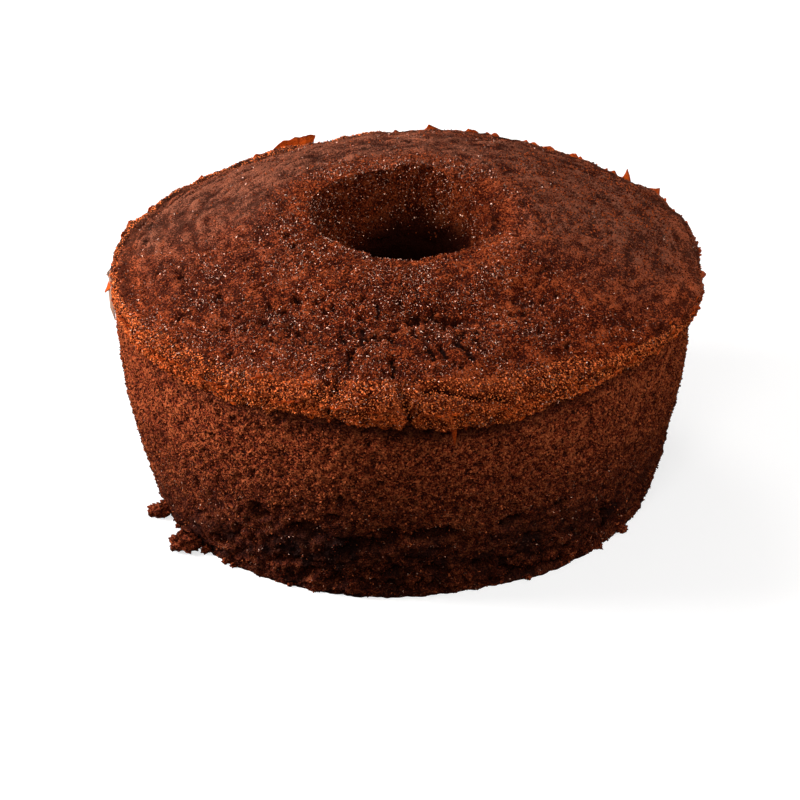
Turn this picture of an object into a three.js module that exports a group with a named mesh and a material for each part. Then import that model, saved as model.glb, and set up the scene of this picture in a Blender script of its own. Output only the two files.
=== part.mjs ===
// A plain chocolate ring cake, baked in a tapered tube pan and standing on its narrow end.
// Millimetres, +Z up. The origin is the middle of the flat underside, and the front faces -Y.
// A turn is measured in degrees round the cake from the front, growing to the right.
import * as THREE from "three";
import { ImprovedNoise } from "three/addons/math/ImprovedNoise.js";
import { mergeVertices } from "three/addons/utils/BufferGeometryUtils.js";

const { smoothstep, radToDeg } = THREE.MathUtils;

// Driving dimensions
const crustDiameter = 239; // across the overhanging rim of the crust
const cakeHeight = 120; // from the underside to the crest round the hole
const rimHeight = 92; // where the crust reaches furthest out
const wallTopDiameter = 231; // the side wall, close under the crust
const wallTopHeight = 83; // where the crust's overhang starts
const footDiameter = 199; // the narrow end of the pan
const shoulderDiameter = 225; // where the rim's rounded face ends and the top begins
const shoulderHeight = 100;
const crestDiameter = 73; // highest ring round the hole
const neckDiameter = 50; // narrowest part of the hole
const neckHeight = 90;
const holeFootDiameter = 56; // the pan's tube is thicker at its foot
const facets = 144; // steps round the cake

// Points that bend the section's curves, between the ends given above
const wallBow = { diameter: wallTopDiameter - 2, height: wallTopHeight * 0.55 };
const lipHollow = { diameter: wallTopDiameter + 1, height: wallTopHeight + 4 };
const rimUnderside = { diameter: crustDiameter - 1, height: rimHeight - 6 };
const rimTop = { diameter: crustDiameter, height: rimHeight + 5 };
const outerSlope = { diameter: crustDiameter * 0.8, height: shoulderHeight + 6 };
const innerSlope = { diameter: crustDiameter * 0.52, height: cakeHeight - 4 };
const funnelLip = { diameter: neckDiameter + 6, height: cakeHeight + 0.5 };
const funnelThroat = { diameter: neckDiameter + 1, height: neckHeight + 13 };

// The crust's uneven rise, as soft bumps and dips
const swells = [
  { turn: 4, radius: 107, spanDegrees: 30, spanRadius: 17, height: 3.5 }, // front shoulder
  { turn: -60, radius: 118, spanDegrees: 24, spanRadius: 20, height: 2.5 }, // high left rim
  { turn: 78, radius: 118, spanDegrees: 36, spanRadius: 20, height: -2.5 }, // low right rim
  { turn: -144, radius: 112, spanDegrees: 40, spanRadius: 22, height: -4.5 }, // dip at the back left
  { turn: 142, radius: 112, spanDegrees: 18, spanRadius: 22, height: -4 }, // dip at the back right
  { turn: -88, radius: 48, spanDegrees: 38, spanRadius: 13, height: 2 }, // mound left of the hole
  { turn: 168, radius: 36, spanDegrees: 16, spanRadius: 8, height: 2.6 }, // lump behind the hole
  { turn: 80, radius: 36, spanDegrees: 38, spanRadius: 12, height: -5 }, // worn right of the hole
  { turn: 8, radius: 36, spanDegrees: 44, spanRadius: 12, height: -4.5 }, // low front of the hole
  { turn: -30, radius: 78, spanDegrees: 24, spanRadius: 10, height: -2.2 }, // hollow in front, left half
  { turn: 22, radius: 80, spanDegrees: 24, spanRadius: 10, height: -2 }, // hollow in front, right half
];

// Lobes of batter that ran over the pan's edge and baked there, pushed out of the rim's face
const lobes = [
  { turn: -7, height: 94, spanDegrees: 7, spanHeight: 9, outward: 2.4 },
  { turn: 11, height: 92, spanDegrees: 9, spanHeight: 8, outward: 2.8 },
  { turn: -30, height: 91, spanDegrees: 8, spanHeight: 6, outward: 1.2 },
];

// Splits in the rim, pressed into it from the outside
const splits = [
  { turn: 1.5, spanDegrees: 1.6, low: 86, high: 109, depth: 3.4 }, // upright, between two lobes
  { turn: 22.5, spanDegrees: 2, low: 94, high: 107, depth: 1.8 },
  { turn: -16, spanDegrees: 2, low: 86, high: 104, depth: 1.7 },
];
const splitFade = 4; // a split grows to its depth over this height

// Flakes of crust that lifted off the pan's edge
const flakes = [
  { turn: -158, spanDegrees: 3.4, outward: 1, upward: 5.5 },
  { turn: -90, spanDegrees: 2.4, outward: 1.2, upward: -2 },
  { turn: 119, spanDegrees: 3.4, outward: 1.5, upward: 3.4 },
  { turn: 174, spanDegrees: 1.6, outward: 0, upward: 2.4 },
];
const flakeReach = { across: 7, up: 10 }; // how much of the rim a flake takes with it

// Where the foot of the wall stuck to the pan and tore away
const tears = [
  { turn: -33, height: 36, spanDegrees: 4, spanHeight: 5, depth: 2.2 },
  { turn: -22, height: 32, spanDegrees: 6, spanHeight: 5, depth: 2.4 },
  { turn: -9, height: 28, spanDegrees: 7, spanHeight: 5, depth: 2.6 },
  { turn: 5, height: 32, spanDegrees: 7, spanHeight: 5, depth: 2.6 },
  { turn: 22, height: 33, spanDegrees: 5, spanHeight: 5, depth: 2.2 },
  { turn: 28, height: 3, spanDegrees: 12, spanHeight: 8, depth: 2 },
  { turn: -46, height: 12, spanDegrees: 6, spanHeight: 5, depth: 1.8 },
  { turn: 150, height: 16, spanDegrees: 7, spanHeight: 6, depth: 2 },
  { turn: -118, height: 18, spanDegrees: 6, spanHeight: 5, depth: 1.8 },
];

// Crags, by their size across and their height
const broadCrag = { across: 21, height: 1.5 };
const smallCrag = { across: 9.5, height: 1.1 };
const rimWave = { across: 46, height: 1.4 };
const crackle = { across: 8, height: 2, turn: -4, radius: 80, spanDegrees: 46, spanRadius: 13 };
const footHeight = 5; // the wall's relief grows from nothing to full over this height
const rimDepth = { from: 16, to: 6 }; // how far in from the rim lobes and splits reach
const wallShare = 0.55; // how much of the top's roughness the wall has
const holeShare = 0.7;

const noise = new ImprovedNoise();

function crag({ x, y, z }, { across, height }) {
  return height * noise.noise(x / across, y / across, z / across);
}

function sectionPoint(diameter, height) {
  return new THREE.Vector2(diameter / 2, height);
}

function bend({ diameter, height }) {
  return sectionPoint(diameter, height);
}

// The section is walked up the wall, over the top, down the hole and back under the cake
function sectionStretches() {
  const foot = sectionPoint(footDiameter, 0);
  const wallTop = sectionPoint(wallTopDiameter, wallTopHeight);
  const rim = sectionPoint(crustDiameter, rimHeight);
  const shoulder = sectionPoint(shoulderDiameter, shoulderHeight);
  const crest = sectionPoint(crestDiameter, cakeHeight);
  const neck = sectionPoint(neckDiameter, neckHeight);
  const holeFoot = sectionPoint(holeFootDiameter, 0);
  return [
    { curve: new THREE.QuadraticBezierCurve(foot, bend(wallBow), wallTop), steps: 12 },
    { curve: new THREE.CubicBezierCurve(wallTop, bend(lipHollow), bend(rimUnderside), rim), steps: 3 },
    { curve: new THREE.QuadraticBezierCurve(rim, bend(rimTop), shoulder), steps: 3 },
    { curve: new THREE.SplineCurve([shoulder, bend(outerSlope), bend(innerSlope), crest]), steps: 13 },
    { curve: new THREE.CubicBezierCurve(crest, bend(funnelLip), bend(funnelThroat), neck), steps: 5 },
    { curve: new THREE.LineCurve(neck, holeFoot), steps: 3 },
    { curve: new THREE.LineCurve(holeFoot, foot), steps: 2 },
  ];
}

function sectionOutline() {
  const points = [];
  for (const { curve, steps } of sectionStretches()) {
    points.push(...curve.getSpacedPoints(steps).slice(0, -1));
  }
  points.push(points[0].clone());
  return points;
}

// 1 at the middle of a feature and fading to 0, by its distances counted in spans
function fade(...distances) {
  return Math.exp(-distances.reduce((sum, distance) => sum + distance * distance, 0));
}

function spansRound(turn, feature) {
  const away = THREE.MathUtils.euclideanModulo(turn - feature.turn + 180, 360) - 180;
  return away / feature.spanDegrees;
}

function spansAcross(radius, feature) {
  return (radius - feature.radius) / feature.spanRadius;
}

function spansUp(height, feature) {
  return (height - feature.height) / feature.spanHeight;
}

function total(features, amount) {
  return features.reduce((sum, feature) => sum + amount(feature), 0);
}

function riseOfTop(turn, radius) {
  return total(swells, (swell) => swell.height * fade(spansRound(turn, swell), spansAcross(radius, swell)));
}

function lobeBulge(turn, height) {
  return total(lobes, (lobe) => lobe.outward * fade(spansRound(turn, lobe), spansUp(height, lobe)));
}

function tearDepth(turn, height) {
  return total(tears, (tear) => tear.depth * fade(spansRound(turn, tear), spansUp(height, tear)));
}

function splitDepth(turn, height) {
  return total(splits, (split) => {
    const started = smoothstep(height, split.low, split.low + splitFade);
    const ended = smoothstep(height, split.high - splitFade, split.high);
    return split.depth * started * (1 - ended) * fade(spansRound(turn, split));
  });
}

// Moves one point of the plain turned body to where it came out of the oven
function bakePoint(point) {
  const radius = Math.hypot(point.x, point.y);
  const turn = radToDeg(Math.atan2(point.x, -point.y));
  const rimRadius = crustDiameter / 2;
  const inHole = 1 - smoothstep(radius, neckDiameter / 2, crestDiameter / 2);
  const onTop = smoothstep(point.z, wallTopHeight, shoulderHeight) * (1 - inHole);
  const onWall = (1 - onTop) * (1 - inHole);
  const nearRim = smoothstep(radius, rimRadius - rimDepth.from, rimRadius - rimDepth.to);
  const offFoot = smoothstep(point.z, 0, footHeight);
  const atRim = fade((radius - rimRadius) / flakeReach.across, (point.z - rimHeight) / flakeReach.up);
  const roughness = crag(point, broadCrag) + crag(point, smallCrag);
  const inCrackle = fade(spansRound(turn, crackle), spansAcross(radius, crackle));

  let outward = crag({ x: point.x, y: point.y, z: 0 }, rimWave) * (1 - inHole);
  outward += roughness * offFoot * (onWall * wallShare - inHole * holeShare);
  outward += nearRim * (lobeBulge(turn, point.z) - splitDepth(turn, point.z));
  outward -= tearDepth(turn, point.z) * offFoot * onWall;
  let upward = onTop * (roughness + riseOfTop(turn, radius) + inCrackle * crag(point, crackle));
  for (const flake of flakes) {
    const pull = atRim * fade(spansRound(turn, flake));
    outward += pull * flake.outward;
    upward += pull * flake.upward;
  }
  const stretch = (radius + outward) / radius;
  return new THREE.Vector3(point.x * stretch, point.y * stretch, point.z + upward);
}

function makeCakeGeometry() {
  const turned = new THREE.LatheGeometry(sectionOutline(), facets);
  turned.deleteAttribute("normal");
  turned.deleteAttribute("uv");
  turned.rotateX(Math.PI / 2);
  const geometry = mergeVertices(turned, 1e-3);
  const positions = geometry.getAttribute("position");
  const point = new THREE.Vector3();
  for (let index = 0; index < positions.count; index += 1) {
    point.fromBufferAttribute(positions, index);
    positions.setXYZ(index, ...bakePoint(point));
  }
  geometry.computeBoundingBox();
  const middle = geometry.boundingBox.getCenter(new THREE.Vector3());
  geometry.translate(-middle.x, -middle.y, 0);
  geometry.computeVertexNormals();
  return geometry;
}

const crumb = new THREE.MeshStandardMaterial({ color: 0x5c2817, roughness: 0.85, metalness: 0 });
const cake = new THREE.Mesh(makeCakeGeometry(), crumb);
cake.name = "cake";

const part = new THREE.Group();
part.add(cake);

export default part;
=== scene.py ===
import math
import bmesh
import bpy
import numpy as np
from mathutils import Matrix, Vector, geometry, noise


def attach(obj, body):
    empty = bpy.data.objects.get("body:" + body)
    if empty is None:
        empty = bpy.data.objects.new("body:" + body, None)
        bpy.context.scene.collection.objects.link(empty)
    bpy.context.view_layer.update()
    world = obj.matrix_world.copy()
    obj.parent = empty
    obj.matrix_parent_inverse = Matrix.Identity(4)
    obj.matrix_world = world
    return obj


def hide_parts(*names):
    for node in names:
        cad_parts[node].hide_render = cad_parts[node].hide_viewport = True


# Chocolate ring cake. Forms are worked out in millimetres and stored in metres.
# A turn goes round the cake in degrees from the front (-Y), growing to the right (+X).
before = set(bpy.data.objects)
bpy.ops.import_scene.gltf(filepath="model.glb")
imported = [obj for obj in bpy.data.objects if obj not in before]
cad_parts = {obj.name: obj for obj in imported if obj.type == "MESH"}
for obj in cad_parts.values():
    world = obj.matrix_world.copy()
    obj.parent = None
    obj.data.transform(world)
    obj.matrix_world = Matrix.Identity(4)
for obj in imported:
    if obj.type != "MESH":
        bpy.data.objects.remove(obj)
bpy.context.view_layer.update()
scene = bpy.context.scene
mm = 0.001

# Camera

photoView = {
    "elevation": 29.05,  # degrees above the floor
    "roll": -1.6,
    "distance": 2400,
    "pixelsPerMm": 2.49,  # at the cake's middle, in a picture 800 wide
    "aimHeight": 55,
    "aimPixel": (402.4, 351.9),  # where the cake's middle at that height sits in the picture
    "clipEnd": 50,  # metres
}


def placeCamera(view, pictureWidth=800, sensorWidth=36):
    camera = bpy.data.objects.new("camera", bpy.data.cameras.new("camera"))
    scene.collection.objects.link(camera)
    tilt = math.radians(view["elevation"])
    back = Vector((0, -math.cos(tilt), math.sin(tilt)))
    turned = Matrix.Rotation(math.radians(view["roll"]), 3, back)
    right = turned @ Vector((1, 0, 0))
    up = turned @ Vector((0, math.sin(tilt), math.cos(tilt)))
    acrossPicture = (pictureWidth / 2 - view["aimPixel"][0]) / view["pixelsPerMm"]
    downPicture = (pictureWidth / 2 - view["aimPixel"][1]) / view["pixelsPerMm"]
    middle = Vector((0, 0, view["aimHeight"])) + right * acrossPicture - up * downPicture
    camera.matrix_world = Matrix.LocRotScale(
        (middle + back * view["distance"]) * mm, Matrix((right, up, back)).transposed(), None)
    camera.data.sensor_width = sensorWidth
    camera.data.lens = view["pixelsPerMm"] * view["distance"] * sensorWidth / pictureWidth
    camera.data.clip_end = view["clipEnd"]
    scene.camera = camera
    print("camera: lens", round(camera.data.lens, 1))


placeCamera(photoView)

# The cake's form: the same swells, lobes, tears and flakes as the solid has

cakeForm = {
    "rimRadius": 119.5, "rimHeight": 92,
    "wallTopRadius": 115.5, "wallTopHeight": 83,
    "footRadius": 99.5,
    "shoulder": (112.5, 100),
    "crest": (36.5, 120),
    "neck": (25, 90),
    "holeFootRadius": 28,
    "swells": (  # turn, radius, degrees wide, mm wide, mm high
        (4, 107, 30, 17, 3.5), (-60, 118, 24, 20, 2.5), (78, 118, 36, 20, -2.5),
        (-144, 112, 40, 22, -4.5), (142, 112, 18, 22, -4), (-88, 48, 38, 13, 2),
        (168, 36, 16, 8, 2.6), (80, 36, 38, 12, -5), (8, 36, 44, 12, -4.5),
        (-30, 78, 24, 10, -2.2), (22, 80, 24, 10, -2),
    ),
    "lobes": (  # turn, height, degrees wide, mm tall, mm out
        (-7, 94, 7, 9, 2.4), (11, 92, 9, 8, 2.8), (-30, 91, 8, 6, 1.2),
    ),
    "tears": (  # turn, height, degrees wide, mm tall, mm deep
        (-33, 36, 4, 5, 2.2), (-22, 32, 6, 5, 2.4), (-9, 28, 7, 5, 2.6),
        (5, 32, 7, 5, 2.6), (22, 33, 5, 5, 2.2), (28, 3, 12, 8, 2),
        (-46, 12, 6, 5, 1.8), (150, 16, 7, 6, 2), (-118, 18, 6, 5, 1.8),
    ),
    "flakes": (  # turn, degrees wide, mm out, mm up
        (-158, 3.4, 1, 5.5), (-90, 2.4, 1.2, -2), (119, 3.4, 1.5, 3.4), (174, 1.6, 0, 2.4),
    ),
    "rimBelt": (103.5, 113.5),  # radii over which the rim's own forms begin
    "rimWave": (46, 1.4),  # mm across and out
    "rimShift": 1.7,  # the crust sits a little to the right of the foot
    "rimDents": (  # turn, degrees wide, mm deep
        (-86, 18, 2.0), (-118, 14, 1.4), (118, 16, 1.8), (180, 80, 0.9),
    ),
    "lipEdge": (  # turn and height of the crust's lower edge
        (-180, 88), (-150, 89), (-120, 87), (-92, 86), (-80, 86.5), (-60, 87), (-40, 86.8), (-20, 88),
        (-8, 87), (2, 85), (10, 83.3), (19, 83), (28, 85.5), (45, 88.5), (60, 87), (76, 84.5),
        (110, 86), (150, 88), (180, 88),
    ),
}

# Helpers for relief


def smoothStep(value, low, high):
    share = np.clip((value - low) / (high - low), 0, 1)
    return share * share * (3 - 2 * share)


def fade(*distances):
    return np.exp(-sum(np.square(d) for d in distances))


def roundGap(turn, middle):
    return (turn - middle + 180) % 360 - 180


def nearTurn(turn, zone):  # 1 in the middle of a zone, fading over its degrees
    middle, degrees = zone
    return fade(roundGap(turn, middle) / degrees)


def nearSpot(turn, radius, spot):
    return nearTurn(turn, (spot["turn"], spot["degrees"])) * fade((radius - spot["radius"]) / spot["width"])


def sumOf(features, turn, place):  # features are turn, place, degrees wide, mm wide, amount
    return sum(f[4] * fade(roundGap(turn, f[0]) / f[2], (place - f[1]) / f[3]) for f in features)


def lumps(points, across, seed=0):  # smooth noise from about -1 to 1, cells this many mm across
    spots = points / across + np.array((17.3, -9.1, 5.7)) * seed
    return np.array([noise.noise(p) for p in spots.tolist()])


def heap(points, layers):  # layers of lumps as cell size, height and seed
    return sum(tall * lumps(points, across, seed) for across, tall, seed in layers)


def turnOf(points):
    return np.degrees(np.arctan2(points[:, 0], -points[:, 1]))


def ringPoints(turn, radius, height):
    around = np.radians(turn)
    return np.stack((radius * np.sin(around), -radius * np.cos(around), height), 1)


def lipHeight(form, turn):
    turns, heights = zip(*form["lipEdge"])
    return np.interp(turn, turns, heights)


def pathDistance(points, path):  # mm to the nearest point of a line of straight stretches
    nearest = np.full(len(points), np.inf)
    for start, end in zip(path, path[1:]):
        stretch = end - start
        share = np.clip((points - start) @ stretch / max(stretch @ stretch, 1e-9), 0, 1)
        nearest = np.minimum(nearest, np.linalg.norm(points - start - share[:, None] * stretch, axis=1))
    return nearest


def bow(start, handleA, handleB, end, count):
    points = [Vector((*p, 0)) for p in (start, handleA, handleB, end)]
    return [tuple(p[:2]) for p in geometry.interpolate_bezier(*points, count + 1)][:-1]


# Helpers for meshes


def readAll(items, name, width=1, kind=float):
    values = np.empty(len(items) * width, kind)
    items.foreach_get(name, values)
    return values.reshape(-1, width) if width > 1 else values


def meshFrom(bm, name):
    mesh = bpy.data.meshes.new(name)
    bm.to_mesh(mesh)
    bm.free()
    return mesh


def addMark(mesh, name, values):  # a number for each vertex, read by the materials
    layer = mesh.attributes.new(name, "FLOAT", "POINT")
    layer.data.foreach_set("value", np.clip(values, 0, 1).astype(np.float32))


def addBakeMap(mesh, flat):
    layer = mesh.uv_layers.new(name="OFBake")
    layer.data.foreach_set("uv", flat.ravel())


def addPiece(name, mesh, material, standsFor=None):
    piece = bpy.data.objects.new(name, mesh)
    scene.collection.objects.link(piece)
    mesh.materials.append(material)
    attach(piece, "root")
    if standsFor:
        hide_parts(standsFor)
    print(name + ":", len(mesh.polygons), "faces")
    return piece


# A ring of crust or crumb: one closed section, spun round the hole and divided finer


def spinRing(name, section, plan):
    bm = bmesh.new()
    station = bm.verts.layers.float.new("station")
    loop = [bm.verts.new((0, -r * mm, z * mm)) for r, z in section]
    for number, vert in enumerate(loop):
        vert[station] = number
    edges = [bm.edges.new((a, b)) for a, b in zip(loop, loop[1:] + loop[:1])]
    bmesh.ops.spin(bm, geom=loop + edges, cent=(0, 0, 0), axis=(0, 0, 1),
                   angle=2 * math.pi, steps=plan["spinSteps"], use_merge=True, use_duplicate=False)
    bmesh.ops.remove_doubles(bm, verts=bm.verts, dist=1e-6)
    around = [e for e in bm.edges if abs(e.verts[0][station] - e.verts[1][station]) < 0.5]
    bmesh.ops.subdivide_edges(bm, edges=around, cuts=plan["cuts"], use_grid_fill=True)
    bmesh.ops.recalc_face_normals(bm, faces=bm.faces)
    steps = plan["spinSteps"] * (plan["cuts"] + 1)

    def ringOrder(vert):
        step = round(math.degrees(math.atan2(vert.co.x, -vert.co.y)) * steps / 360) % steps
        return round(vert[station]) * steps + step

    def faceOrder(face):
        numbers = [vert.index for vert in face.verts]
        return min(numbers) * len(bm.verts) + max(numbers)

    bm.verts.sort(key=ringOrder)  # the operators leave the order to chance
    bm.verts.index_update()
    bm.faces.sort(key=faceOrder)

    mesh = meshFrom(bm, name)
    mesh.shade_smooth()
    return mesh


def readRing(mesh, section):
    outline = np.array(section)
    steps = len(mesh.vertices) // len(section)
    number, step = np.divmod(np.arange(len(mesh.vertices)), steps)
    along = np.roll(outline, -1, 0) - np.roll(outline, 1, 0)
    normals = np.stack((along[:, 1], -along[:, 0]), 1)
    normals /= np.linalg.norm(normals, axis=1)[:, None]
    ring = {
        "station": number, "turn": roundGap(step * 360 / steps, 0),
        "radius": outline[number, 0], "height": outline[number, 1],
        "normalOut": normals[number, 0], "normalUp": normals[number, 1],
    }
    ring["points"] = ringPoints(ring["turn"], ring["radius"], ring["height"])
    return ring


def placeRing(mesh, ring, outward, upward, swell):
    radius = ring["radius"] + outward + swell * ring["normalOut"]
    height = np.maximum(ring["height"] + upward + swell * ring["normalUp"], 0)
    mesh.vertices.foreach_set("co", (ringPoints(ring["turn"], radius, height) * mm).ravel())
    mesh.update()


def unrollRing(mesh, ring, stations):  # two half turns, one above the other, for the baked pictures
    corners = readAll(mesh.loops, "vertex_index", 1, int)
    turn = ring["turn"][corners].reshape(-1, 4) % 360
    along = ring["station"][corners].reshape(-1, 4).astype(float)
    wraps = np.ptp(along, axis=1) > stations / 2
    along[wraps[:, None] & (along < stations / 2)] += stations
    crosses = np.ptp(turn, axis=1) > 180
    turn[crosses[:, None] & (turn < 180)] += 360
    secondHalf = turn.mean(1) > 180
    across = np.clip((turn - 180 * secondHalf[:, None]) / 180, 0, 1)
    up = along / stations / 2 + 0.5 * secondHalf[:, None]
    addBakeMap(mesh, np.stack((across, np.clip(up, 0, 1)), 2))


# Materials

warmGloss = (1, 0.55, 0.37, 1)


def newMaterial(name, specular, roughness):
    material = bpy.data.materials.new(name)
    material.use_nodes = True
    tree = material.node_tree
    shader = tree.nodes["Principled BSDF"]
    shader.inputs["Specular IOR Level"].default_value = specular
    shader.inputs["Specular Tint"].default_value = warmGloss
    shader.inputs["Roughness"].default_value = roughness
    coords = tree.nodes.new("ShaderNodeTexCoord")
    return material, tree, shader, coords.outputs["Object"]


def addNode(tree, kind, settings, inputs):
    node = tree.nodes.new("ShaderNode" + kind)
    for name, value in settings.items():
        setattr(node, name, value)
    for name, value in inputs.items():
        if isinstance(value, bpy.types.NodeSocket):
            tree.links.new(value, node.inputs[name])
        else:
            node.inputs[name].default_value = value
    return node


def grain(tree, coords, size, detail=2.0):  # cloudy noise from 0 to 1, size in mm
    inputs = {"Vector": coords, "Scale": 1 / (size * mm), "Detail": detail, "Roughness": 0.6}
    return addNode(tree, "TexNoise", {}, inputs).outputs["Fac"]


def holes(tree, coords, size):  # distance to the nearest of scattered spots, size in mm
    inputs = {"Vector": coords, "Scale": 1 / (size * mm)}
    return addNode(tree, "TexVoronoi", {}, inputs).outputs["Distance"]


def ramp(tree, value, low, high, toLow=0.0, toHigh=1.0):
    inputs = {0: value, 1: low, 2: high, 3: toLow, 4: toHigh}
    return addNode(tree, "MapRange", {"interpolation_type": "SMOOTHSTEP"}, inputs).outputs["Result"]


def blend(tree, share, colourA, colourB):
    settings = {"data_type": "RGBA", "blend_type": "MIX"}
    return addNode(tree, "Mix", settings, {0: share, 6: colourA, 7: colourB}).outputs[2]


def sums(tree, how, a, b):
    return addNode(tree, "Math", {"operation": how}, {0: a, 1: b}).outputs[0]


def mark(tree, name):
    return addNode(tree, "Attribute", {"attribute_name": name}, {}).outputs["Fac"]


def roughen(tree, shader, height, depth):  # bump, depth in mm
    bump = addNode(tree, "Bump", {}, {"Height": height, "Strength": 1.0, "Distance": depth * mm})
    tree.links.new(bump.outputs["Normal"], shader.inputs["Normal"])


crustLook = {
    "dark": (0.036, 0.0030, 0.0006, 1),
    "brown": (0.165, 0.0190, 0.0034, 1),
    "warm": (0.390, 0.0730, 0.0190, 1),
    # a greyer brown painted as a soft sheen on the back and far side of the dome
    "sheenDark": (0.070, 0.0245, 0.0138, 1),
    "paintedSheen": (0.240, 0.0910, 0.0550, 1),
    # the browned lip, also painted along the far rim's thin edge as back light
    "baked": (0.820, 0.1300, 0.0240, 1),
    "glow": (1.000, 0.2300, 0.0540, 1),
    "flake": (0.620, 0.0880, 0.0090, 1),
    # the dark colour of pits and cracks, also used for painted shade
    "pit": (0.012, 0.0018, 0.0009, 1),
    "grain": 0.7, "patch": 15, "spot": 0.7, "pore": 1.4,  # sizes in mm
    "darkToBrown": (0.44, 0.50), "brownToWarm": (0.51, 0.58),  # tones over which the colours change
    "sheenTones": (0.44, 0.56), "bakedTones": (0.44, 0.55),
    "patchTone": 0.04,
    "sheenShare": 0.7,
    "poreEdge": (0.27, 0.35), "poreGrowth": 0.07,
    "gloss": 0.01,
    "roughness": (0.72, 0.5),  # from dark grain to bright
    "spotDepth": 0.6, "bumpDepth": 0.55,
}

crumbLook = {
    "dark": (0.045, 0.0055, 0.0022, 1),
    "brown": (0.222, 0.0310, 0.0095, 1),
    "warm": (0.470, 0.1060, 0.0330, 1),
    # the dark colour of pits and tears, also used for painted shade and damp crumb
    "pit": (0.009, 0.0021, 0.0019, 1),
    "grain": 0.8, "patch": 13, "spot": 0.95, "pore": 1.9,
    "darkToBrown": (0.43, 0.49), "brownToWarm": (0.51, 0.59),
    "patchTone": 0.02,
    "poreEdge": (0.28, 0.36),
    "gloss": 0.06,
    "roughness": (0.9, 0.6),
    "spotDepth": 0.7, "bumpDepth": 0.7,
}


def grainyTone(tree, coords, fine, look):  # the surface's own tone under fine grain and broad patches
    own = sums(tree, "MULTIPLY", mark(tree, "tone"), 0.35)
    tone = sums(tree, "ADD", own, sums(tree, "MULTIPLY", fine, 0.65))
    patches = grain(tree, coords, look["patch"], 3)
    return sums(tree, "ADD", tone, ramp(tree, patches, 0.3, 0.7, -look["patchTone"], look["patchTone"]))


def toneColour(tree, tone, look):
    colour = blend(tree, ramp(tree, tone, *look["darkToBrown"]), look["dark"], look["brown"])
    return blend(tree, ramp(tree, tone, *look["brownToWarm"]), colour, look["warm"])


def raggedPores(tree, coords, fine, look):
    return sums(tree, "ADD", holes(tree, coords, look["pore"]), ramp(tree, fine, 0.3, 0.7, -0.14, 0.14))


def finishSkin(tree, shader, coords, fine, colour, look):
    tree.links.new(colour, shader.inputs["Base Color"])
    tree.links.new(ramp(tree, fine, 0.35, 0.65, *look["roughness"]), shader.inputs["Roughness"])
    spots = sums(tree, "MULTIPLY", holes(tree, coords, look["spot"]), look["spotDepth"])
    roughen(tree, shader, sums(tree, "SUBTRACT", fine, spots), look["bumpDepth"])


def crustMaterial(look):
    material, tree, shader, coords = newMaterial("bakedCrust", look["gloss"], 0.6)
    fine = grain(tree, coords, look["grain"])
    tone = grainyTone(tree, coords, fine, look)
    colour = toneColour(tree, tone, look)
    # painted sheen: the greyer brown is blended in by its mark
    paintedSheen = blend(tree, ramp(tree, tone, *look["sheenTones"]), look["sheenDark"], look["paintedSheen"])
    colour = blend(tree, sums(tree, "MULTIPLY", mark(tree, "paintedSheen"), look["sheenShare"]), colour, paintedSheen)
    bakedShare = sums(tree, "MULTIPLY", mark(tree, "baked"), ramp(tree, tone, *look["bakedTones"], 0.1, 1))
    colour = blend(tree, bakedShare, colour, look["baked"])
    grown = sums(tree, "MULTIPLY", mark(tree, "porous"), look["poreGrowth"])
    ragged = sums(tree, "SUBTRACT", raggedPores(tree, coords, fine, look), grown)
    pores = sums(tree, "MULTIPLY", mark(tree, "porous"), ramp(tree, ragged, *look["poreEdge"], 0.9, 0))
    # darkened by pores and by the pit mark, which carries painted shade
    colour = blend(tree, sums(tree, "MAXIMUM", mark(tree, "pit"), pores), colour, look["pit"])
    finishSkin(tree, shader, coords, fine, colour, look)
    return material


def crumbMaterial(look):
    material, tree, shader, coords = newMaterial("cakeCrumb", look["gloss"], 0.8)
    fine = grain(tree, coords, look["grain"])
    colour = toneColour(tree, grainyTone(tree, coords, fine, look), look)
    pores = ramp(tree, raggedPores(tree, coords, fine, look), *look["poreEdge"], 0.8, 0)
    # darkened by pores and by the pit mark, which carries painted shade and damp crumb
    colour = blend(tree, sums(tree, "MAXIMUM", mark(tree, "pit"), pores), colour, look["pit"])
    finishSkin(tree, shader, coords, fine, colour, look)
    return material


def grainMaterial(name, dark, bright, specular, roughness):  # loose grains, each of its own tone
    material, tree, shader, coords = newMaterial(name, specular, roughness)
    fine = grain(tree, coords, 0.7)
    tone = sums(tree, "ADD", mark(tree, "tone"), ramp(tree, fine, 0.35, 0.65, -0.2, 0.2))
    tree.links.new(blend(tree, ramp(tree, tone, 0, 1), dark, bright), shader.inputs["Base Color"])
    varied = ramp(tree, fine, 0.4, 0.6, roughness + 0.08, roughness - 0.08)
    tree.links.new(varied, shader.inputs["Roughness"])
    roughen(tree, shader, fine, 0.15)
    return material


crustSkin = crustMaterial(crustLook)
crumbSkin = crumbMaterial(crumbLook)
crumbGrain = grainMaterial("crumbGrain", crumbLook["dark"], crumbLook["warm"], 0.05, 0.65)
crustGrain = grainMaterial("crustGrain", crustLook["dark"], crustLook["warm"], 0.03, 0.6)
moistGrain = grainMaterial("moistGrain", crustLook["dark"], crustLook["brown"], 1.0, 0.17)
bakedGrain = grainMaterial("bakedGrain", crustLook["dark"], crustLook["glow"], 0.1, 0.5)
bakedFlake = grainMaterial("bakedFlake", crustLook["brown"], crustLook["flake"], 0.03, 0.6)
paleSkin = grainMaterial("paleSkin", (0.14, 0.065, 0.04, 1), (0.44, 0.25, 0.18, 1), 0.15, 0.5)
print("materials made")

# Shade down the hole, on the crust's edge and on the crumb below it

# painted shade down the hole, lighter on the lit slope right of the hole
holeLight = {
    "lit": (-105, 48), "litDrop": 13,  # turn and degrees of the wall that stays lit, and mm lower down
    "worn": (75, 48),
    "edge": (9, 3, 17),
    "heights": (95, 107),  # from dark to light
}


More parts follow.
